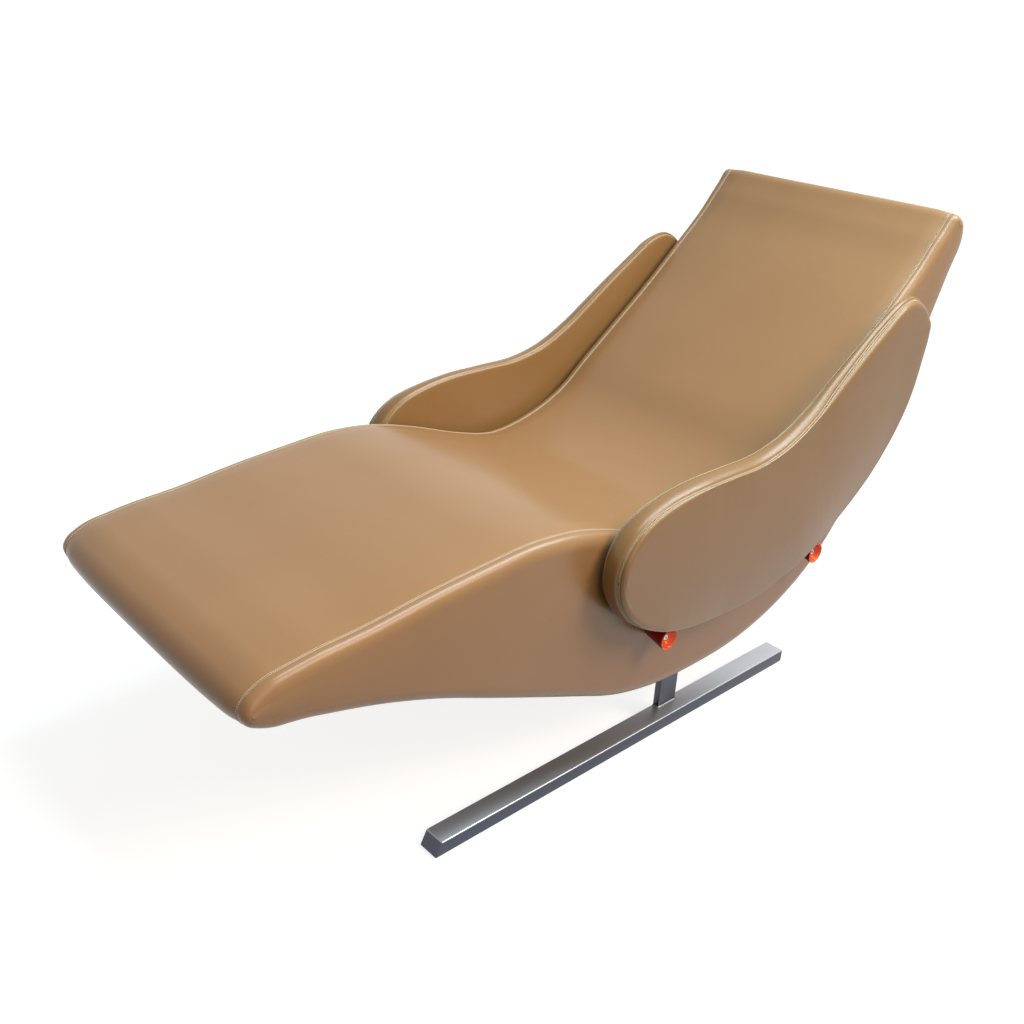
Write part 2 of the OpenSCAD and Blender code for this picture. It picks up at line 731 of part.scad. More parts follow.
cup_washers();
cup_screws();
cup_inserts();
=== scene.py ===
import json
import math

import bmesh
import bpy
from mathutils import Matrix, Vector, noise


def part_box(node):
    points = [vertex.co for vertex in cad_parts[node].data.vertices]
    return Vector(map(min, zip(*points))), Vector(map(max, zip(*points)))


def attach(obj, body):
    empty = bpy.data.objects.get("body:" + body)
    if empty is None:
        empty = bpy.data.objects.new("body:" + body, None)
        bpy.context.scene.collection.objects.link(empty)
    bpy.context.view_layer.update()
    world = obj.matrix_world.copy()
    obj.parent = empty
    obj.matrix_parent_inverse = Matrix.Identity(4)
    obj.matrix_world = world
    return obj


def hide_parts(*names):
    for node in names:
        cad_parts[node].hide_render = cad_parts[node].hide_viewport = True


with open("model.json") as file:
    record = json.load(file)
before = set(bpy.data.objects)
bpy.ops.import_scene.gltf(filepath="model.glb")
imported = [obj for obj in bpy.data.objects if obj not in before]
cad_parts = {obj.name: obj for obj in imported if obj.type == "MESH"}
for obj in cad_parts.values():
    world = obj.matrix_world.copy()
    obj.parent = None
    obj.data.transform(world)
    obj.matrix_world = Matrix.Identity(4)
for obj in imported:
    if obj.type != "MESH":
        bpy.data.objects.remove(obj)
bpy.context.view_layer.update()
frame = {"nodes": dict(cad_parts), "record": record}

# Units and sides, the name of the vertex mark for painted light (the painted highlight on the crests of seam
# ridges, a cup's inside against an outside that is partly painted shade, and a bar's top against sides of
# painted shade), how near points of the frame lie to a flat place, and how near corners are joined
MM = 0.001
SIDES = {"left": -1, "right": 1}
MARK = "tight"
FLAT_NEAR = 0.05 * MM
FRAME_JOIN = 0.01 * MM
PIECE_JOIN = 0.02 * MM

# Body outline: points of the CAD outline that the seat wraps round each end, and finer stations on each span
FOOT_WRAP = 9
HEAD_WRAP = 6
FINER = 4
END_REACH = FOOT_WRAP * FINER

# Seat and belly covers: seam, the dip beside it, and thickness; their cross seams are tucked in
CAD_SEAM_Y = abs(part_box("side_pad_left")[1].y)
SEAM_IN = 12 * MM
SEAM_Y = CAD_SEAM_Y - SEAM_IN
SEAM_DIP = 3 * MM
DIP_START = 0.88
FOAM_SEAT = 32 * MM
FOAM_NOSE = 17 * MM
FOAM_HEAD = 12 * MM
BELLY_T = 8 * MM
END_TUCK = 1.8 * MM
TUCK_REACH = 0.9
FADE_REACH = 4

# Sides: how far they stand out of the seam, the roll of their shoulder, which is tighter round the two ends,
# and the crown of their face
SIDE_BULGE = abs(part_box("side_pad_left")[0].y) - SEAM_Y
SIDE_ROLL = 27 * MM
SIDE_CROWN = 1.5 * MM
SIDE_RUNGS = 14
TIGHT_ROLL = 0.45
SHOULDER_PUFF = 2 * MM
SHOULDER_ROWS = 10

# Wings: inner and outer face, the lean of the tip, the roll of the edge and the sink of each seam
WING_LOW, WING_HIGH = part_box("wing_outer_pad_left")
WING_IN = abs(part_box("wing_inner_pad_left")[1].y)
WING_FRONT = abs(WING_LOW.y)
WING_LEAN = 27 * MM
WING_LEAN_START = 0.56
WING_TIP = WING_FRONT - WING_LEAN
WING_ROLL = 15 * MM
WING_SEAM_INSET = 1.8 * MM
WING_CROWN = 0.8 * MM
INNER_RUNGS = 12
OUTER_RUNGS = 20
INNER_BULGE = 4 * MM
INNER_SEAM_Y = WING_IN + INNER_BULGE
INNER_SINK = 3.2 * MM
NOSE_SINK = 4 * MM

# Gusset, the band round a wing: its crown, thickness and rows, and how fast each seam's sink fades across it
GUSSET_CROWN = 3.4 * MM
GUSSET_T = 8 * MM
GUSSET_ROWS = 14
INNER_FADE = 8
OUTER_FADE = 2.2

# By x in mm along the upper and the lower edge: how far the wing's face stands out of its seam, how far
# the face falls towards the edge, and how far the seam lies inside the outline
UPPER_BULGE = [(-195, 11), (-110, 9), (-55, 8), (30, 3.6), (350, 3.6), (400, 9), (450, 11), (538, 13.5),
               (600, 11), (746, 11)]
LOWER_BULGE = [(-195, 11), (-110, 9), (0, 4), (600, 4), (746, 11)]
UPPER_FALL = [(-195, 0), (-110, 2.7), (-55, 3.5), (69, 3.8), (156, 1), (350, 1.4), (400, 0), (746, 0)]
LOWER_FALL = [(-195, 0), (-60, 0), (120, 10), (480, 10), (720, 0)]
UPPER_SINK = [(-195, 1), (-158, 3), (-113, 5), (-55, 7), (69, 9), (350, 8), (450, 6), (600, 5), (746, 3)]
LOWER_SINK = [(-195, 1), (0, 0), (600, 0), (746, 3)]
FALL_REACH = 150 * MM
EDGE_ROUND = 1.3

# Cups: rim, length from the body's side to the rim, the spigot in the body, the seat of the screw, the form
# as shares of length and rim, and the leather's gap round them
CUP_R = 22.5 * MM
CUP_L = 52 * MM
CUP_BASE_Y = SEAM_Y + SIDE_BULGE
CUP_STEM_R = 9 * MM
CUP_HOLE_R = 3.4 * MM
CUP_STEPS = 64
SPIGOT_L = 11.3 * MM
SPIGOT_EDGE = 1 * MM
SCREW_SEAT_R = 0.26 * CUP_R
CUP_FORM = [(0.03, 0.52), (0.09, 0.60), (0.30, 0.68), (0.52, 0.78), (0.74, 0.89), (0.90, 0.97), (1.0, 1.0)]
CUP_RIM = [(0.965, 0.992), (0.99, 0.985), (1.0, 0.945), (1.0, 0.9), (0.985, 0.865)]
BOWL_FORM = [(0.74, 0.38), (0.77, 0.52), (0.82, 0.63), (0.90, 0.74), (0.97, 0.83)]
POCKET_GAP = 1 * MM
POCKET_DEPTH = 1.03
POCKET_FLARE = 0.4

# Seams: width and height of the ridge on each side, half width and depth of the groove between them, half the
# gap between the two covers, and the stitches
RIDGE_W = 2.8 * MM
RIDGE_H = 0.6 * MM
GROOVE_W = 0.9 * MM
GROOVE_D = 1.3 * MM
FOLD_D = 2.6 * GROOVE_D
SEAM_GAP = 0.1 * MM
STITCH_PITCH = 3.4 * MM
STITCH_L = 3.1 * MM
STITCH_R = 0.8 * MM
STITCH_RISE = 0.4 * MM

# Leather's own unevenness: waves in the foam, gathers along the seams, and how far apart two pieces read them
WAVE_H = 0.45 * MM
WAVE_L = 140 * MM
WAVE_SHIFT = 3.7
GATHER_H = 0.28 * MM
GATHER_L = 13 * MM
GATHER_REACH = 11 * MM
GATHER_SHIFT = 7.3

# Skid frames: rounded edges, the runner's slanted foot end, and the weld round each post
BAR_ROUND = 2.2 * MM
POST_ROUND = 1.2 * MM
RUNNER_SLANT = 14 * MM
POST_SINK = 1 * MM
WELD_R = 3.6 * MM
WELD_ROWS = 5
WELD_STEP = 0.8 * MM
WELD_CORNER = 2 * MM
WELD_CORNER_STEPS = 6
WELD_SINK = 0.3 * MM
WELD_BACK = 1 * MM

# Camera: place in m, lens in mm, and its turns in degrees
CAMERA_PLACE = (-1.4419, -1.4269, 1.3980)
CAMERA_LENS = 39.146
CAMERA_YAW = 43.1675
CAMERA_DOWN = 26.2663
CAMERA_ROLL = 3.2010

# Lamps: a warm key sun from the head end, a low warm sun from the foot end, and a cool strip; m, W, degrees
WARM = (1.0, 0.80, 0.60)
KEY_WAY = (-0.32, 0.62, -0.72)
KEY_STRENGTH = 1.60
KEY_ANGLE = 24
SIDE_WAY = (0.20, 0.88, -0.42)
SIDE_STRENGTH = 0.70
SIDE_ANGLE = 40
STRIP_COLOUR = (0.70, 0.90, 1.0)
STRIP_PLACE = (0.35, -0.65, 2.4)
STRIP_TILT = 35
STRIP_SIZE = (2.2, 0.75)
STRIP_POWER = 72

# Floor and world: the white that camera and mirror rays see, and the dim light that matt surfaces get
FLOOR_HALF = 300
FLOOR_GLOW = 0.82
FLOOR_BOUNCE = (0.10, 0.11, 0.06, 1.0)
WHITE = (1.0, 1.0, 1.0, 1.0)
HORIZON = (0.16, 0.16, 0.08, 1.0)
ZENITH = (0.26, 0.27, 0.27, 1.0)
SKY_LEAN = 0.4
SKY_FROM = -0.1
SKY_TO = 1.2


# Curves

def ease(t):
    t = max(0.0, min(1.0, t))
    return t * t * (3 - 2 * t)


def mix(a, b, t):
    return a + (b - a) * t


def read_table(table, t):
    """Value at t of a table of (place, value) rows."""
    t = max(table[0][0], min(table[-1][0], t))
    for (t0, a), (t1, b) in zip(table, table[1:]):
        if t <= t1:
            return mix(a, b, (t - t0) / (t1 - t0))
    return table[-1][1]


def heading(points, i):
    """Direction of the smooth closed curve at one of its points."""
    before = points[i] - points[i - 1]
    after = points[(i + 1) % len(points)] - points[i]
    share = after.length / before.length
    return (before * share + after / share) / (before.length + after.length)


def finer(points, steps):
    """The smooth closed curve through the points, with steps points on each span."""
    made = []
    for i, a in enumerate(points):
        k = (i + 1) % len(points)
        span = (points[k] - a).length
        start, end = heading(points, i) * span, heading(points, k) * span
        for s in range(steps):
            t = s / steps
            t2, t3 = t * t, t * t * t
            made.append((2 * t3 - 3 * t2 + 1) * a + (t3 - 2 * t2 + t) * start
                        + (3 * t2 - 2 * t3) * points[k] + (t3 - t2) * end)
    return made


def flat_outline(node, y):
    """Longest edge of a node's flat face at y, as (x, z) points from the foot end over the top."""
    bm = bmesh.new()
    bm.from_mesh(frame["nodes"][node].data)
    bmesh.ops.remove_doubles(bm, verts=bm.verts, dist=FRAME_JOIN)
    flat = {f for f in bm.faces if all(abs(v.co.y - y) < FLAT_NEAR for v in f.verts)}
    beside = {}
    for e in bm.edges:
        if len(flat.intersection(e.link_faces)) == 1:
            for v in e.verts:
                beside.setdefault(v, []).append(e.other_vert(v))
    loops = []
    left_over = set(beside)
    while left_over:
        loop = [left_over.pop()]
        while True:
            onward = [v for v in beside[loop[-1]] if v in left_over]
            if not onward:
                break
            left_over.remove(onward[0])
            loop.append(onward[0])
        loops.append([Vector((v.co.x, v.co.z)) for v in loop])
    bm.free()
    points = max(loops, key=lambda loop: sum((a - b).length for a, b in zip(loop, loop[1:])))
    if sum(a.x * b.y - b.x * a.y for a, b in zip(points, points[1:] + points[:1])) > 0:
        points.reverse()
    start = min(range(len(points)), key=lambda i: points[i].x)
    return points[start:] + points[:start]


def end_roll(s, count):
    """Share of a rolled edge that fits at a station, less round the two ends, where the roll is tightest."""
    from_end = s % count
    from_end = min(from_end, count - from_end)
    return mix(TIGHT_ROLL, 1.0, ease(min(from_end, count / 2 - from_end) / END_REACH))


class Outline:
    """A closed line seen from the side, read at any station, with its outward direction."""

    def __init__(self, points):
        self.points = points
        self.count = len(points)
        self.half = len(points) // 2
        self.lengths = [0.0]
        for a, b in zip(points, points[1:] + points[:1]):
            self.lengths.append(self.lengths[-1] + (b - a).length)

    def outward(self, s):
        i = math.floor(s)
        ways = []
        for k in (i, i + 1):
            d = self.points[(k + 1) % self.count] - self.points[(k - 1) % self.count]
            ways.append(Vector((-d.y, d.x)).normalized())
        return ways[0].lerp(ways[1], s - i).normalized()

    def at(self, s, out=0.0):
        """The point at a station, moved outwards."""
        i = math.floor(s)
        point = self.points[i % self.count].lerp(self.points[(i + 1) % self.count], s - i)
        return point + self.outward(s) * out

    def stations(self, pitch):
        """Stations at an even pitch along the line."""
        made = []
        i = 0
        for k in range(int(self.lengths[-1] / pitch)):
            while self.lengths[i + 1] < k * pitch:
                i += 1
            made.append(i + (k * pitch - self.lengths[i]) / (self.lengths[i + 1] - self.lengths[i]))
        return made


# Leather's own unevenness

def unevenness(point, seed):
    """Slight waves in the foam under the leather."""
    return WAVE_H * noise.noise(point / WAVE_L + Vector((0, WAVE_SHIFT * seed, 0)))


def pucker(point, away, seed):
    """Small gathers along a seam, which fade with the distance from it."""
    gather = noise.noise(Vector((point.x / GATHER_L, GATHER_SHIFT * seed, point.y / GATHER_L)))
    return GATHER_H * gather * math.exp(-(away / GATHER_REACH) ** 2)


# Mesh helpers

def new_mesh():
    """An empty mesh with the painted-light mark that the leather, the plastic and the steel read."""
    bm = bmesh.new()
    bm.verts.layers.float.new(MARK)
    return bm


def sheet(bm, columns, rows, place, tight=None):
    """Adds a grid, with each corner moved to place(column, row)."""
    made = bmesh.ops.create_grid(bm, x_segments=columns, y_segments=rows, size=1)
    mark = bm.verts.layers.float[MARK]
    for v in made["verts"]:
        column, row = round((v.co.x + 1) / 2 * columns), round((v.co.y + 1) / 2 * rows)
        v.co = place(column, row)
        v[mark] = tight(column, row) if tight else 0.0


def piece(name, bm, material, replaces=(), levels=1):
    """Closes a mesh, turns its faces outwards and makes it a smooth piece of the lounger."""
    bmesh.ops.remove_doubles(bm, verts=bm.verts, dist=PIECE_JOIN)
    bmesh.ops.holes_fill(bm, edges=[e for e in bm.edges if e.is_boundary], sides=0)
    bmesh.ops.recalc_face_normals(bm, faces=bm.faces)
    mesh = bpy.data.meshes.new(name)
    bm.to_mesh(mesh)
    bm.free()
    mesh.shade_smooth()
    mesh.materials.append(material)
    obj = bpy.data.objects.new(name, mesh)
    bpy.context.scene.collection.objects.link(obj)
    if levels:
        modifier = obj.modifiers.new("Smooth", "SUBSURF")
        modifier.levels = modifier.render_levels = levels
    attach(obj, "root")
    if replaces:
        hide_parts(*replaces)
    return obj


# Materials. A Mix node's colours are its inputs 6 and 7 and its output 2.

def paint(code):
    """An sRGB hex colour as linear red, green, blue and alpha."""
    parts = [int(code[i:i + 2], 16) / 255 for i in (1, 3, 5)]
    return [c / 12.92 if c <= 0.04045 else ((c + 0.055) / 1.055) ** 2.4 for c in parts] + [1.0]


def add(tree, kind, inputs=None, **settings):
    """Adds a node with its settings; each input is a value or another node's output."""
    made = tree.nodes.new("ShaderNode" + kind)
    for key, value in settings.items():
        setattr(made, key, value)
    for key, value in (inputs or {}).items():
        if isinstance(value, bpy.types.NodeSocket):
            tree.links.new(value, made.inputs[key])
        else:
            made.inputs[key].default_value = value
    return made


def new_material(name, **sockets):
    """A material with one Principled shader, and its constant values on the shader's own sockets."""
    material = bpy.data.materials.new(name)
    material.use_nodes = True
    shader = material.node_tree.nodes["Principled BSDF"]
    for key, value in sockets.items():
        shader.inputs[key.replace("_", " ")].default_value = value
    return material, material.node_tree, shader


def faux_leather(name, tan, shade):
    # Polyurethane-coated fabric, calendered smooth: an even tan with a very fine pebble grain,
    # a soft satin gloss, and a painted highlight: a paler colour along the crests of the seam ridges
    material, tree, shader = new_material(name, Roughness=0.3, Specular_IOR_Level=0.4)
    place = add(tree, "TexCoord").outputs["Object"]
    cloud = add(tree, "TexNoise", {"Vector": place, "Scale": 1 / (160 * MM), "Detail": 3.0})
    mottle = add(tree, "TexNoise", {"Vector": place, "Scale": 1 / (7 * MM), "Detail": 2.0})
    blend = add(tree, "Math", {0: cloud.outputs["Fac"], 1: 0.7}, operation="MULTIPLY")
    blend = add(tree, "Math", {0: mottle.outputs["Fac"], 1: 0.3, 2: blend.outputs[0]},
                operation="MULTIPLY_ADD")
    colour = add(tree, "Mix", {0: blend.outputs[0], 6: paint(shade), 7: paint(tan)}, data_type="RGBA")
    # Painted highlight: the mark lifts the colour towards pale cream along the crests of the seam ridges
    tight = add(tree, "Attribute", attribute_name=MARK)
    ridge_highlight_mix = add(tree, "Math", {0: tight.outputs["Fac"], 1: 0.4}, operation="MULTIPLY")
    colour = add(tree, "Mix", {0: ridge_highlight_mix.outputs[0], 6: colour.outputs[2], 7: paint("#E6DABF")},
                 data_type="RGBA")
    tree.links.new(colour.outputs[2], shader.inputs["Base Color"])
    gloss = add(tree, "MapRange", {"Value": mottle.outputs["Fac"], "To Min": 0.27, "To Max": 0.33})
    tree.links.new(gloss.outputs[0], shader.inputs["Roughness"])
    # The real grain is about 0.6 mm and would not show, so its pebbles are drawn at 1.6 mm
    grain = add(tree, "TexVoronoi", {"Vector": place, "Scale": 1 / (1.6 * MM)}, feature="SMOOTH_F1")
    fine = add(tree, "Bump", {"Height": grain.outputs["Distance"], "Strength": 0.06, "Distance": 0.25 * MM})
    slack = add(tree, "TexNoise", {"Vector": place, "Scale": 1 / (45 * MM), "Detail": 2.0})
    bump = add(tree, "Bump", {"Height": slack.outputs["Fac"], "Strength": 0.2, "Distance": 1.2 * MM,
                              "Normal": fine.outputs[0]})
    tree.links.new(bump.outputs[0], shader.inputs["Normal"])
    return material


def polyester_thread():
    # Bonded polyester thread, twisted: paler than the leather, with a soft sheen
    material, tree, shader = new_material("polyester_thread", Roughness=0.55)
    place = add(tree, "TexCoord").outputs["Object"]
    twist = add(tree, "TexNoise", {"Vector": place, "Scale": 1 / (0.8 * MM)})
    colour = add(tree, "Mix", {0: twist.outputs["Fac"], 6: paint("#B59A76"), 7: paint("#DCCBA9")},
                 data_type="RGBA")
    tree.links.new(colour.outputs[2], shader.inputs["Base Color"])
    return material


def brushed_steel(name, light, dark, side, roughness, scratch):
    # Flat steel bar: the top is brushed bright along its length, with fine streaks along X that stretch
    # every reflection, and the sides get a darker colour, which is painted shade for the dark reflection on a
    # vertical side
    material, tree, shader = new_material(name, Metallic=1.0, Roughness=roughness)
    place = add(tree, "TexCoord").outputs["Object"]
    streaks = add(tree, "Mapping", {"Vector": place, "Scale": (4.0, 1 / (0.8 * MM), 1 / (0.8 * MM))})
    brushed = add(tree, "TexNoise", {"Vector": streaks.outputs[0], "Scale": 1.0, "Detail": 4.0})
    cloud = add(tree, "TexNoise", {"Vector": place, "Scale": 1 / (90 * MM), "Detail": 2.0})
    colour = add(tree, "Mix", {0: cloud.outputs["Fac"], 6: paint(dark), 7: paint(light)}, data_type="RGBA")
    top = add(tree, "Attribute", attribute_name=MARK).outputs["Fac"]
    # Painted shade: the sides take the darker side colour, and only the marked top keeps the brushed tones
    colour = add(tree, "Mix", {0: top, 6: paint(side), 7: colour.outputs[2]}, data_type="RGBA")
    tree.links.new(colour.outputs[2], shader.inputs["Base Color"])
    gloss = add(tree, "MapRange", {"Value": brushed.outputs["Fac"], "To Min": roughness - 0.05,
                                   "To Max": roughness + 0.07})
    tree.links.new(gloss.outputs[0], shader.inputs["Roughness"])
    bump = add(tree, "Bump", {"Height": brushed.outputs["Fac"], "Strength": scratch, "Distance": 0.05 * MM})
    tree.links.new(bump.outputs[0], shader.inputs["Normal"])
    return material


def weld_steel():
    # Bead of a fillet weld, brushed clean: rough silvery ripples that catch small glints
    material, tree, shader = new_material("weld_steel", Metallic=1.0, Roughness=0.3)
    place = add(tree, "TexCoord").outputs["Object"]
    ripple = add(tree, "TexNoise", {"Vector": place, "Scale": 1 / (1.5 * MM), "Detail": 3.0})
    colour = add(tree, "Mix", {0: ripple.outputs["Fac"], 6: paint("#4E5056"), 7: paint("#9DA0A6")},
                 data_type="RGBA")
    tree.links.new(colour.outputs[2], shader.inputs["Base Color"])
    bump = add(tree, "Bump", {"Height": ripple.outputs["Fac"], "Strength": 0.4, "Distance": 0.3 * MM})
    tree.links.new(bump.outputs[0], shader.inputs["Normal"])
    return material


def orange_plastic():
    # Injection-moulded acetal, glossy: the bowl is clear orange and the outside deep red, partly the
    # plastic's own colour and partly painted shade on the outside
    material, tree, shader = new_material("orange_acetal", Roughness=0.22, Specular_IOR_Level=0.35)
    place = add(tree, "TexCoord").outputs["Object"]
    inside = add(tree, "Attribute", attribute_name=MARK)
    cloud = add(tree, "TexNoise", {"Vector": place, "Scale": 1 / (12 * MM), "Detail": 2.0})
    share = add(tree, "Math", {0: cloud.outputs["Fac"], 1: 0.12, 2: inside.outputs["Fac"]},
                operation="MULTIPLY_ADD")
    share = add(tree, "Math", {0: share.outputs[0], 1: 0.06}, operation="SUBTRACT", use_clamp=True)
    colour = add(tree, "Mix", {0: share.outputs[0], 6: paint("#96190A"), 7: paint("#EE5A16")},
                 data_type="RGBA")
    tree.links.new(colour.outputs[2], shader.inputs["Base Color"])
    peel = add(tree, "TexNoise", {"Vector": place, "Scale": 1 / (3 * MM)})
    bump = add(tree, "Bump", {"Height": peel.outputs["Fac"], "Strength": 0.08, "Distance": 0.2 * MM})
    tree.links.new(bump.outputs[0], shader.inputs["Normal"])
    return material


def speckled(name, pale, dark, roughness, grain_mm, relief):
    # A dull moulded or sprayed skin: two close dark tones and a fine orange peel
    material, tree, shader = new_material(name, Roughness=roughness)
    place = add(tree, "TexCoord").outputs["Object"]
    speck = add(tree, "TexNoise", {"Vector": place, "Scale": 1 / (grain_mm * MM), "Detail": 2.0})
    colour = add(tree, "Mix", {0: speck.outputs["Fac"], 6: paint(dark), 7: paint(pale)}, data_type="RGBA")
    tree.links.new(colour.outputs[2], shader.inputs["Base Color"])
    bump = add(tree, "Bump", {"Height": speck.outputs["Fac"], "Strength": relief, "Distance": 0.1 * MM})
    tree.links.new(bump.outputs[0], shader.inputs["Normal"])
    return material


def sawn_wood(name, pale, dark, stretch):
    # Birch plywood shows thin parallel veneers on its edges, planed beech short straight flecks
    material, tree, shader = new_material(name, Roughness=0.6)
    place = add(tree, "TexCoord").outputs["Object"]
    along = add(tree, "Mapping", {"Vector": place, "Scale": stretch})
    rings = add(tree, "TexNoise", {"Vector": along.outputs[0], "Scale": 1.0, "Detail": 3.0,
                                   "Distortion": 0.4})
    colour = add(tree, "Mix", {0: rings.outputs["Fac"], 6: paint(dark), 7: paint(pale)}, data_type="RGBA")
    tree.links.new(colour.outputs[2], shader.inputs["Base Color"])
    bump = add(tree, "Bump", {"Height": rings.outputs["Fac"], "Strength": 0.15, "Distance": 0.2 * MM})
    tree.links.new(bump.outputs[0], shader.inputs["Normal"])
    return material


def plated_metal(name, pale, dark, roughness):
    # Turned brass or zinc plate: a bright skin with faint cloudy patches
    material, tree, shader = new_material(name, Metallic=1.0, Roughness=roughness)
    place = add(tree, "TexCoord").outputs["Object"]
    patches = add(tree, "TexNoise", {"Vector": place, "Scale": 1 / (6 * MM), "Detail": 3.0})
    colour = add(tree, "Mix", {0: patches.outputs["Fac"], 6: paint(dark), 7: paint(pale)}, data_type="RGBA")
    tree.links.new(colour.outputs[2], shader.inputs["Base Color"])
    gloss = add(tree, "MapRange", {"Value": patches.outputs["Fac"], "To Min": roughness - 0.04,
                                   "To Max": roughness + 0.08})
    tree.links.new(gloss.outputs[0], shader.inputs["Roughness"])
    return material


THREAD = polyester_thread()
WELD = weld_steel()
FINISHES = {
    "body_leather": faux_leather("body_faux_leather", "#9C744F", "#906944"),
    # The wings' faux leather is a darker copy of the body's: painted shade for their side faces
    "wing_leather": faux_leather("wing_faux_leather_shaded_copy", "#8D683F", "#825E37"),
    "birch_plywood": sawn_wood("birch_plywood", "#D9BE93", "#B8935F", (2.0, 700.0, 2.0)),
    "beech": sawn_wood("planed_beech", "#CFA27A", "#B98A62", (3.0, 12.0, 330.0)),
    "frame_steel": speckled("powder_coat", "#222326", "#18181A", 0.5, 1.8, 0.2),
    # The third colour of each steel bar is its painted-shade side colour
    "post_steel": brushed_steel("dark_satin_steel", "#5A5C64", "#4D4F57", "#4A4C54", 0.34, 0.12),
    "runner_steel": brushed_steel("satin_steel", "#D6D9DF", "#C4C7CE", "#494C55", 0.42, 0.15),
    "glide_plastic": speckled("polyethylene", "#26272A", "#141416", 0.6, 0.7, 0.2),
    "orange_plastic": orange_plastic(),
    "insert_brass": plated_metal("turned_brass", "#D9B25F", "#B98F45", 0.28),
    "zinc_steel": plated_metal("zinc_plate", "#D5D8DC", "#B9BCC2", 0.25),
}

for part in frame["record"]["subparts"]:
    mesh = frame["nodes"][part["node"]].data
    mesh.materials.clear()
    mesh.materials.append(FINISHES[part["material_slot"]])


# Seams

# A ridge of leather beside a seam: distance from the seam and height, from the panel down into the groove
RIDGE_FORM = [(1.0, 0.0), (0.8, 0.25), (0.66, 0.75), (0.54, 1.0), (0.44, 0.8), (0.38, 0.2)]
RIDGE = [(d * RIDGE_W, h * RIDGE_H) for d, h in RIDGE_FORM] + [(GROOVE_W, -GROOVE_D), (SEAM_GAP, -FOLD_D)]
RISING = list(reversed(RIDGE))


def ridge_highlight_share(lift):
    """Share of painted highlight on a ridge, from its height."""
    return max(0.0, lift / RIDGE_H)


def stitches(name, line, side, seam_y):
    """A row of stitches along the groove of a seam."""
    bm = bmesh.new()
    for s in line.stations(STITCH_PITCH):
        point = line.at(s, STITCH_RISE)
        before, after = line.at(s - 0.3), line.at(s + 0.3)
        turn = math.atan2(after.y - before.y, after.x - before.x)
        spot = (Matrix.Translation((point.x, side * seam_y(s), point.y)) @ Matrix.Rotation(-turn, 4, "Y")
                @ Matrix.Diagonal((STITCH_L / 2, STITCH_R, STITCH_R, 1)))
        bmesh.ops.create_icosphere(bm, subdivisions=1, radius=1, matrix=spot)
    return piece(name, bm, THREAD, levels=0)


# Body upholstery

body = Outline(finer(flat_outline("side_pad_left", -CAD_SEAM_Y), FINER))
SEAT_FIRST = -FOOT_WRAP * FINER
SEAT_LAST = body.half + HEAD_WRAP * FINER
BELLY_LAST = body.count - FOOT_WRAP * FINER
seat_verts = frame["nodes"]["seat_pad"].data.vertices
seat_middle = [Vector((v.co.x, v.co.z)) for v in seat_verts if abs(v.co.y) < FLAT_NEAR]


def middle_rise(s):
    """How far the middle of the CAD seat stands above its seams at a station."""
    point = body.at(s)
    near = min(seat_middle, key=lambda p: (p - point).length)
    return max(0.0, (near - point).dot(body.outward(s)))


RISES = [(s, middle_rise(s)) for s in range(SEAT_FIRST, SEAT_LAST + 1, FINER)]


def seat_rise(s):
    return read_table(RISES, s)


def belly_rise(s):
    return SEAM_DIP * (1 + ease((s - BELLY_LAST + END_REACH) / END_REACH))


def foam(s):
    """Thickness of the seat's foam, thin round the foot nose and the head edge."""
    ends = FOAM_NOSE if s < body.half / 2 else FOAM_HEAD
    share = ease((s - END_REACH / 2) / END_REACH) * ease((body.half - s - END_REACH / 3) / END_REACH)
    return mix(ends, FOAM_SEAT, share)


# Columns of a cover from its middle to the ridge, as shares of its half width
COLUMNS = [0, 0.1, 0.2, 0.3, 0.4, 0.5, 0.6, 0.7, 0.78, 0.84, 0.88, 0.91, 0.935, 0.955, 0.97, 0.98]


def cover_section(thickness):
    """Half section of a cover, front, ridge, edge and back: distance from the middle, height and share."""
    front = [(c * SEAM_Y, 0.0, c) for c in COLUMNS]
    ridge = [(SEAM_Y - d, h, 1.0) for d, h in RIDGE]
    edge = [(SEAM_Y - SEAM_GAP, -t * thickness, 1.0) for t in (0.5, 0.97)]
    back = [(c * SEAM_Y, -thickness, 1.0) for c in (0.97, 0.8, 0.4, 0.0)]
    return front + ridge + edge + back


def cover(name, first, last, thickness, rise, replaces, seed):
    """A cover that spans the body between its two side seams, over a range of stations."""
    rows = [first, first + 0.15, first + 0.5, first + 1.0]
    rows += [first + 1.5 + k for k in range(int(last - first) - 2)]
    rows += [last - 1.0, last - 0.5, last - 0.15, last]
    sections = [cover_section(thickness(s)) for s in rows]
    half_ring = len(sections[0]) - 1
    shown = len(COLUMNS) + len(RIDGE) - 2

    def place(column, row):
        s = rows[row]
        around = column - half_ring
        mirror = -1 if around < 0 else 1
        across, lift, share = sections[row][abs(around)]
        end = min(s - first, last - s)
        out = lift - END_TUCK * (1 - ease(end / TUCK_REACH))
        if abs(around) < shown:
            dip = ease((share - DIP_START) / (1 - DIP_START))
            out += rise(s) * (1 - share ** 4) + SEAM_DIP * share ** 4 * (1 - dip)
            spot = body.at(s)
            away = unevenness(Vector((spot.x, mirror * across, spot.y)), seed)
            out += (away + pucker(spot, SEAM_Y - across, seed + mirror)) * min(1.0, end / FADE_REACH)
        point = body.at(s, out)
        return Vector((point.x, mirror * across, point.y))

    def tight(column, row):
        return ridge_highlight_share(sections[row][abs(column - half_ring)][1])

    bm = new_mesh()
    sheet(bm, 2 * half_ring, len(rows) - 1, place, tight)
    made = piece(name, bm, FINISHES["body_leather"], replaces)


def shoulder(row, bulge, roll):
    """How far out of the seam and how far inside the outline a row of a side panel lies."""
    if row < len(RISING):
        d, h = RISING[row]
        return d, -h
    share = (row - len(RISING) + 1) / SHOULDER_ROWS
    start = math.asin(RIDGE_W / bulge)
    angle = mix(start, math.pi / 2, share)
    puff = min(SHOULDER_PUFF, roll / 12) * math.sin(math.pi * share)
    return bulge * math.sin(angle), roll * (math.cos(start) - math.cos(angle)) - puff


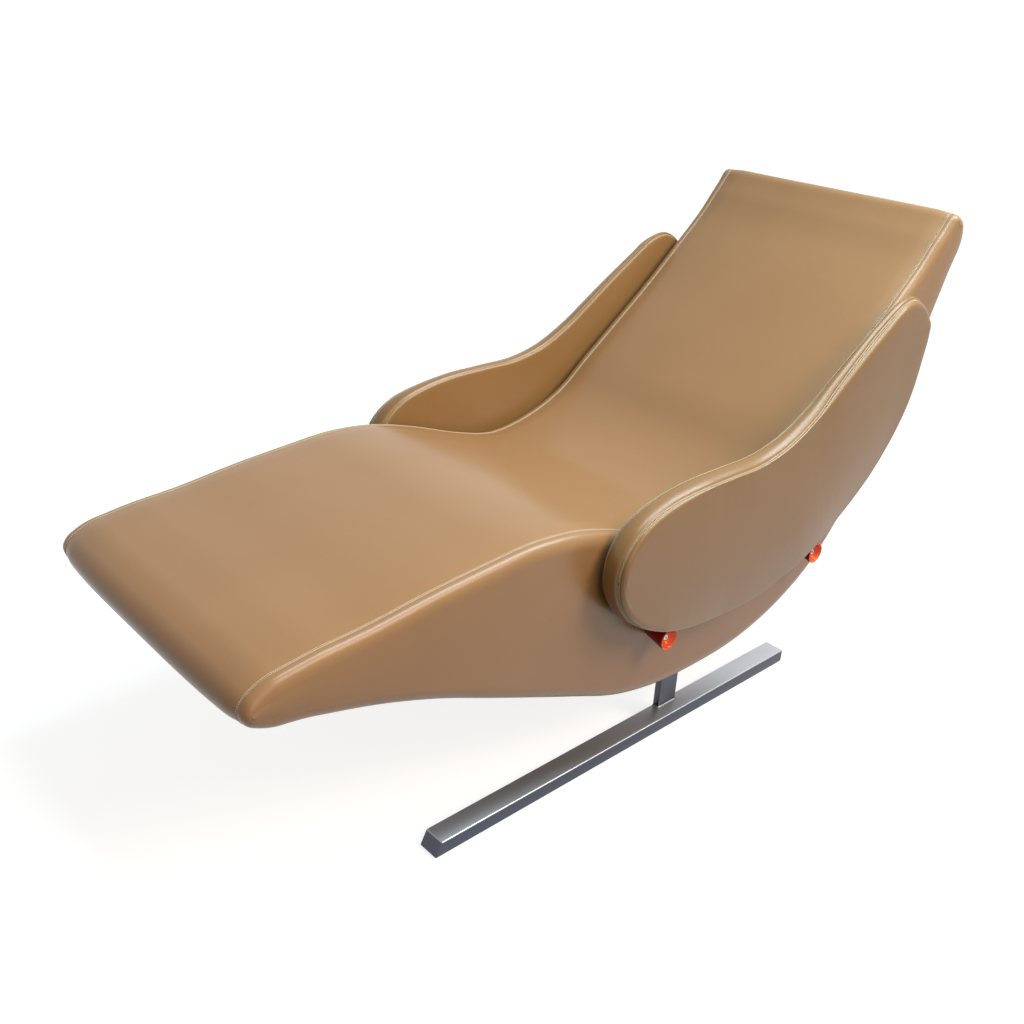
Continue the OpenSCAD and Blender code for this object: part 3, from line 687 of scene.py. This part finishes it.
def side_panel(name, line, side, way, edge, crown, rungs, slot, replaces, seed, clear=None):
    """A padded panel inside an outline, from its seam over a rolled shoulder to its face."""
    last = len(RISING) + SHOULDER_ROWS - 1

    def ring(column, row):
        seam_y, bulge, roll, fall = edge(column)
        out, inset = shoulder(row, bulge, roll)
        wave = pucker(line.at(column), math.hypot(out, inset), seed) if row > 1 else 0.0
        point = line.at(column, wave - inset)
        made = Vector((point.x, seam_y + way * (out + 0.5 * wave), point.y))
        if clear:
            made = clear(made, max(0.0, inset))
        made.y *= side
        return made

    def face(column, row):
        t = ease(row / rungs)
        upper, lower = ring(column, last), ring(-column, last)
        point = upper.lerp(lower, t)
        rise = 4 * t * (1 - t) * (crown + unevenness(point, seed))
        for end, away in ((column, t), (-column, 1 - t)):
            near = 1 - min(1.0, (upper - lower).length * away / FALL_REACH)
            rise += edge(end)[3] * (1 - away - near ** 2)
        point.y += side * way * rise
        return point

    def back(column, row):
        return ring(column, 0).lerp(ring(-column, 0), row / 2)

    def tight(column, row):
        return ridge_highlight_share(RISING[row][1]) if row < len(RISING) else 0.0

    bm = new_mesh()
    sheet(bm, line.count, last, ring, tight)
    sheet(bm, line.half, rungs, face)
    sheet(bm, line.half, 2, back)
    made = piece(name, bm, FINISHES[slot], replaces)


def body_edge(s):
    """Seam, bulge, roll and fall of the body's side at a station."""
    return SEAM_Y, SIDE_BULGE, SIDE_ROLL * end_roll(s, body.count), 0.0


cover("seat_cover", SEAT_FIRST, SEAT_LAST, foam, seat_rise, ["seat_pad"], 1)
cover("belly_cover", SEAT_LAST, BELLY_LAST, lambda s: BELLY_T, belly_rise, ["belly_panel"], 5)
for name, side in SIDES.items():
    side_panel("side_cover_" + name, body, side, 1, body_edge, SIDE_CROWN, SIDE_RUNGS,
               "body_leather", ["side_pad_" + name], 9 + side)
    stitches("body_stitches_" + name, body, side, lambda s: SEAM_Y)


# Wings

cup_boxes = {(end, name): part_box("cup_%s_%s" % (end, name)) for end in ("front", "rear") for name in SIDES}
cup_centres = [(low.xz + high.xz) / 2 for (end, name), (low, high) in cup_boxes.items() if name == "left"]

wing_flat = Outline(flat_outline("wing_inner_pad_left", -WING_IN))
wing_edge = []
for j in range(wing_flat.count):
    k = min(j, wing_flat.count - j)
    share = mix(TIGHT_ROLL, 1.0, ease(min(k, wing_flat.half - k) / FOOT_WRAP))
    wing_edge.append(wing_flat.at(j, WING_ROLL * share - WING_SEAM_INSET))
wing = Outline(finer(wing_edge, FINER))


def wing_face(s):
    """How far out the wing's outer face stands: it leans in towards the head end."""
    share = (wing.at(s).x - WING_LOW.x) / (WING_HIGH.x - WING_LOW.x)
    if s % wing.count > wing.half:
        share = ease((share - WING_LEAN_START) / (1 - WING_LEAN_START))
    return mix(WING_FRONT, WING_TIP, max(0.0, min(1.0, share)))


def outer_edge(s):
    """Seam, bulge, roll and fall of the wing's outer face at a station."""
    x = wing.at(s).x / MM
    upper = s % wing.count <= wing.half
    bulge = read_table(UPPER_BULGE if upper else LOWER_BULGE, x) * MM
    fall = read_table(UPPER_FALL if upper else LOWER_FALL, x) * MM
    return wing_face(s) - bulge - fall, bulge, EDGE_ROUND * bulge * end_roll(s, wing.count), fall


def inner_edge(s):
    """Seam, bulge, roll and fall of the wing's inner face at a station."""
    return INNER_SEAM_Y, INNER_SEAM_Y - WING_IN, WING_ROLL * end_roll(s, wing.count), 0.0


def outer_seam(s):
    return outer_edge(s)[0]


def inner_sink(s):
    """How far the inner seam lies inside the outer one, most round the front nose."""
    from_nose = min(s % wing.count, -s % wing.count) / END_REACH
    return INNER_SINK + NOSE_SINK * (1 - ease(from_nose))


def outer_sink(s):
    """How far the outer seam lies inside the wing's outline."""
    upper = s % wing.count <= wing.half
    return read_table(UPPER_SINK if upper else LOWER_SINK, wing.at(s).x / MM) * MM


inner_line = Outline([wing.at(s, -inner_sink(s)) for s in range(wing.count)])
outer_line = Outline([wing.at(s, -outer_sink(s)) for s in range(wing.count)])


def clear_of_cups(point, depth):
    """Moves a point of the leather out of the pockets that hold the cups."""
    along = (point.y - CUP_BASE_Y) / CUP_L
    if along < POCKET_DEPTH:
        radius = CUP_R * read_table(CUP_FORM, along) + POCKET_GAP + POCKET_FLARE * depth
        for centre in cup_centres:
            away = point.xz - centre
            if away.length < radius:
                away *= radius / away.length
                point = Vector((centre.x + away.x, point.y, centre.y + away.y))
    return point


def gusset_section(width, inner, outer):
    """Section of a wing's edge band: distance from the inner seam, height and share of painted highlight."""
    rows = [(d, h - inner, ridge_highlight_share(h)) for d, h in RISING]
    for k in range(1, GUSSET_ROWS):
        across = mix(RIDGE_W, width - RIDGE_W, k / GUSSET_ROWS)
        t = across / width
        crown = GUSSET_CROWN * (4 * t * (1 - t)) ** 0.6
        rows.append((across, crown - inner * (1 - t) ** INNER_FADE - outer * t ** OUTER_FADE, 0.0))
    rows += [(width - d, h - outer * (1 - d / width) ** OUTER_FADE, ridge_highlight_share(h)) for d, h in RIDGE]
    return rows + [(width - SEAM_GAP, -GUSSET_T - outer, 0.0), (SEAM_GAP, -GUSSET_T - inner, 0.0)]


def gusset(name, side):
    """The band round a wing between its inner and its outer seam."""
    sections = []
    for s in range(wing.count):
        sections.append(gusset_section(outer_seam(s) - INNER_SEAM_Y, inner_sink(s), outer_sink(s)))
    count = len(sections[0])

    def place(column, row):
        across, lift, tight = sections[column % wing.count][row % count]
        point = wing.at(column, lift)
        made = clear_of_cups(Vector((point.x, INNER_SEAM_Y + across, point.y)), max(0.0, -lift))
        made.y *= side
        return made

    def tight(column, row):
        return sections[column % wing.count][row % count][2]

    bm = new_mesh()
    sheet(bm, wing.count, count, place, tight)
    made = piece("wing_gusset_" + name, bm, FINISHES["wing_leather"],
                 ["wing_outer_pad_" + name])


for name, side in SIDES.items():
    side_panel("wing_inner_" + name, inner_line, side, -1, inner_edge, WING_CROWN / 3, INNER_RUNGS,
               "wing_leather", ["wing_inner_pad_" + name], 20 + side, clear_of_cups)
    side_panel("wing_face_" + name, outer_line, side, 1, outer_edge, WING_CROWN, OUTER_RUNGS,
               "wing_leather", ["wing_outer_pad_" + name], 30 + side)
    gusset(name, side)
    stitches("wing_inner_stitches_" + name, inner_line, side, lambda s: INNER_SEAM_Y)
    stitches("wing_outer_stitches_" + name, outer_line, side, outer_seam)


# Cups

def cup(end, name):
    """A turned cup, from the spigot in the body over the rim down to the seat of its screw."""
    side = SIDES[name]
    low, high = cup_boxes[end, name]
    centre = (low + high) / 2
    seat = BOWL_FORM[0][0] * CUP_L
    stem = [(-SPIGOT_L, CUP_HOLE_R), (-SPIGOT_L, CUP_STEM_R - SPIGOT_EDGE),
            (-SPIGOT_L + SPIGOT_EDGE, CUP_STEM_R), (0, CUP_STEM_R)]
    out = [(d * CUP_L, max(r * CUP_R, CUP_STEM_R)) for d, r in CUP_FORM[:-1] + CUP_RIM]
    bowl = [(d * CUP_L, r * CUP_R) for d, r in reversed(BOWL_FORM)]
    bowl += [(seat, SCREW_SEAT_R), (seat, CUP_HOLE_R)]
    bm = new_mesh()
    mark = bm.verts.layers.float[MARK]
    ring = []
    for d, r in stem + out + bowl:
        ring.append(bm.verts.new((centre.x + r, side * (CUP_BASE_Y + d), centre.z)))
        # The bowl is marked for clear orange; the unmarked outside stays deep red, partly painted shade
        ring[-1][mark] = 1.0 if len(ring) > len(stem + out) - 3 else 0.0
    edges = [bm.edges.new(pair) for pair in zip(ring, ring[1:] + ring[:1])]
    bmesh.ops.spin(bm, geom=ring + edges, cent=(centre.x, 0, centre.z), axis=(0, 1, 0),
                   angle=math.tau, steps=CUP_STEPS, use_merge=True)
    piece("cup_%s_shell_%s" % (end, name), bm, FINISHES["orange_plastic"],
          ["cup_%s_%s" % (end, name)])


for end, name in cup_boxes:
    cup(end, name)


# Skid frames

def bar(name, low, high, rounding, slant, slot, replaces):
    """A bar with rounded edges and a marked top, whose upper foot-end edge is drawn back by slant."""
    bm = new_mesh()
    size = Matrix.Diagonal((*(high - low), 1))
    bmesh.ops.create_cube(bm, size=1, matrix=Matrix.Translation((low + high) / 2) @ size)
    for v in bm.verts:
        if v.co.x < (low.x + high.x) / 2 and v.co.z > (low.z + high.z) / 2:
            v.co.x += slant
    bmesh.ops.bevel(bm, geom=bm.edges[:], offset=rounding, segments=4, affect="EDGES", profile=0.5,
                    material=-1)
    # The top is marked for the brushed colour; the sides get the painted-shade side colour
    mark = bm.verts.layers.float[MARK]
    for v in bm.verts:
        v[mark] = ease((v.co.z - high.z + rounding) / rounding)
    return piece(name, bm, FINISHES[slot], replaces, levels=0)


def weld(name, low, high, floor_z, side):
    """The fillet weld round the foot of a post, drawn as overlapping ripples."""
    half_x, half_y = (high.x - low.x) / 2 - WELD_CORNER, (high.y - low.y) / 2 - WELD_CORNER
    centre = (low + high) / 2
    spots = []
    for quarter, (cx, cy) in enumerate([(1, 1), (-1, 1), (-1, -1), (1, -1)]):
        for k in range(WELD_CORNER_STEPS + 1):
            a = (quarter + k / WELD_CORNER_STEPS) * math.pi / 2
            spots.append((Vector((cx * half_x, cy * half_y)), Vector((math.cos(a), math.sin(a)))))
    loop = []
    for (p, w), (p2, w2) in zip(spots, spots[1:] + spots[:1]):
        steps = max(1, round((p2 - p).length / WELD_STEP))
        loop += [(p.lerp(p2, k / steps), w.lerp(w2, k / steps).normalized()) for k in range(steps)]

    def place(column, row):
        p, w = loop[column % len(loop)]
        ripple = 0.85 + 0.15 * abs(math.sin(0.9 * column))
        ripple += 0.12 * noise.noise(Vector((column / 5, low.x, 0)))
        size = WELD_R * ripple * (1 - 0.85 * ease(-side * w.y))
        turn = row % (WELD_ROWS + 2)
        out, z = WELD_CORNER - WELD_BACK, 0.0
        if turn <= WELD_ROWS:
            a = turn / WELD_ROWS * math.pi / 2
            out = WELD_CORNER - WELD_SINK + size * math.cos(a) ** 1.3
            z = size * max(0.0, math.sin(a)) ** 1.3
        spot = p + w * out
        return Vector((centre.x + spot.x, centre.y + spot.y, floor_z - WELD_SINK + z))

    bm = new_mesh()
    sheet(bm, len(loop), WELD_ROWS + 2, place)
    return piece(name, bm, WELD)


for name, side in SIDES.items():
    low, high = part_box("runner_" + name)
    bar("runner_bar_" + name, low, high, BAR_ROUND, RUNNER_SLANT, "runner_steel", ["runner_" + name])
    runner_top = high.z
    low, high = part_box("post_" + name)
    low.z = runner_top - POST_SINK
    bar("post_bar_" + name, low, high, POST_ROUND, 0, "post_steel", ["post_" + name])
    weld("post_weld_" + name, low, high, runner_top, side)


# Camera

scene = bpy.context.scene
yaw, down, roll = (math.radians(a) for a in (CAMERA_YAW, CAMERA_DOWN, CAMERA_ROLL))
ahead = Vector((math.sin(yaw) * math.cos(down), math.cos(yaw) * math.cos(down), -math.sin(down)))
level = Vector((math.cos(yaw), -math.sin(yaw), 0))
above = level.cross(ahead)
right = math.cos(roll) * level + math.sin(roll) * above
up = -math.sin(roll) * level + math.cos(roll) * above
camera = bpy.data.objects.new("camera", bpy.data.cameras.new("camera"))
camera.data.sensor_width = 36
camera.data.lens = CAMERA_LENS
camera.data.clip_end = 1000
turn = Matrix((right, up, -ahead)).transposed().to_4x4()
camera.matrix_world = Matrix.Translation(CAMERA_PLACE) @ turn
scene.collection.objects.link(camera)
scene.camera = camera


# Lamps

def sun(name, towards, strength, angle, colour):
    """A far lamp that shines towards a direction, as wide as its angle."""
    lamp = bpy.data.lights.new(name, "SUN")
    lamp.energy = strength
    lamp.color = colour
    lamp.angle = math.radians(angle)
    obj = bpy.data.objects.new(name, lamp)
    obj.rotation_euler = Vector(towards).to_track_quat("-Z", "Y").to_euler()
    scene.collection.objects.link(obj)


sun("key", KEY_WAY, KEY_STRENGTH, KEY_ANGLE, WARM)
sun("side", SIDE_WAY, SIDE_STRENGTH, SIDE_ANGLE, WARM)

# The long strip lamp above the near side draws the pale highlights along the seams
strip = bpy.data.lights.new("strip", "AREA")
strip.shape = "RECTANGLE"
strip.size, strip.size_y = STRIP_SIZE
strip.energy = STRIP_POWER
strip.color = STRIP_COLOUR
strip_object = bpy.data.objects.new("strip", strip)
strip_object.location = STRIP_PLACE
strip_object.rotation_euler = (0, math.radians(STRIP_TILT), 0)
scene.collection.objects.link(strip_object)


# Floor and world

def shown_share(tree):
    """One for camera, glossy and transmission rays, which see the plain white studio."""
    path = add(tree, "LightPath").outputs
    both = add(tree, "Math", {0: path["Is Camera Ray"], 1: path["Is Glossy Ray"]}, operation="MAXIMUM")
    three = add(tree, "Math", {0: both.outputs[0], 1: path["Is Transmission Ray"]}, operation="MAXIMUM")
    return three.outputs[0]


def studio_floor():
    # Matt pale studio floor, seen white; it gives the object a dim olive bounce
    material, tree, shader = new_material("studio_floor", Roughness=0.9, Specular_IOR_Level=0.0)
    place = add(tree, "TexCoord").outputs["Object"]
    dust = add(tree, "TexNoise", {"Vector": place, "Scale": 3.0, "Detail": 2.0})
    pale = add(tree, "Mix", {0: dust.outputs["Fac"], 6: paint("#A8ABB3"), 7: paint("#AEB1B9")},
               data_type="RGBA")
    shown = shown_share(tree)
    colour = add(tree, "Mix", {0: shown, 6: FLOOR_BOUNCE, 7: pale.outputs[2]}, data_type="RGBA")
    tree.links.new(colour.outputs[2], shader.inputs["Base Color"])
    shader.inputs["Emission Color"].default_value = WHITE
    glow = add(tree, "Math", {0: shown, 1: FLOOR_GLOW}, operation="MULTIPLY")
    tree.links.new(glow.outputs[0], shader.inputs["Emission Strength"])
    return material


bm = bmesh.new()
bmesh.ops.create_grid(bm, x_segments=8, y_segments=8, size=FLOOR_HALF)
mesh = bpy.data.meshes.new("floor")
bm.to_mesh(mesh)
bm.free()
mesh.materials.append(studio_floor())
floor = bpy.data.objects.new("floor", mesh)
scene.collection.objects.link(floor)

world = bpy.data.worlds.new("studio")
scene.world = world
world.use_nodes = True
tree = world.node_tree
tree.nodes.clear()
way = add(tree, "SeparateXYZ", {0: add(tree, "TexCoord").outputs["Generated"]})
lean = add(tree, "Math", {0: way.outputs["X"], 1: SKY_LEAN, 2: way.outputs["Z"]}, operation="MULTIPLY_ADD")
height = add(tree, "MapRange", {"Value": lean.outputs[0], "From Min": SKY_FROM, "From Max": SKY_TO})
soft = add(tree, "Mix", {0: height.outputs[0], 6: HORIZON, 7: ZENITH}, data_type="RGBA")
seen = add(tree, "Mix", {0: shown_share(tree), 6: soft.outputs[2], 7: WHITE}, data_type="RGBA")
background = add(tree, "Background", {"Color": seen.outputs[2]})
add(tree, "OutputWorld", {"Surface": background.outputs[0]})

scene.view_settings.view_transform = "Standard"
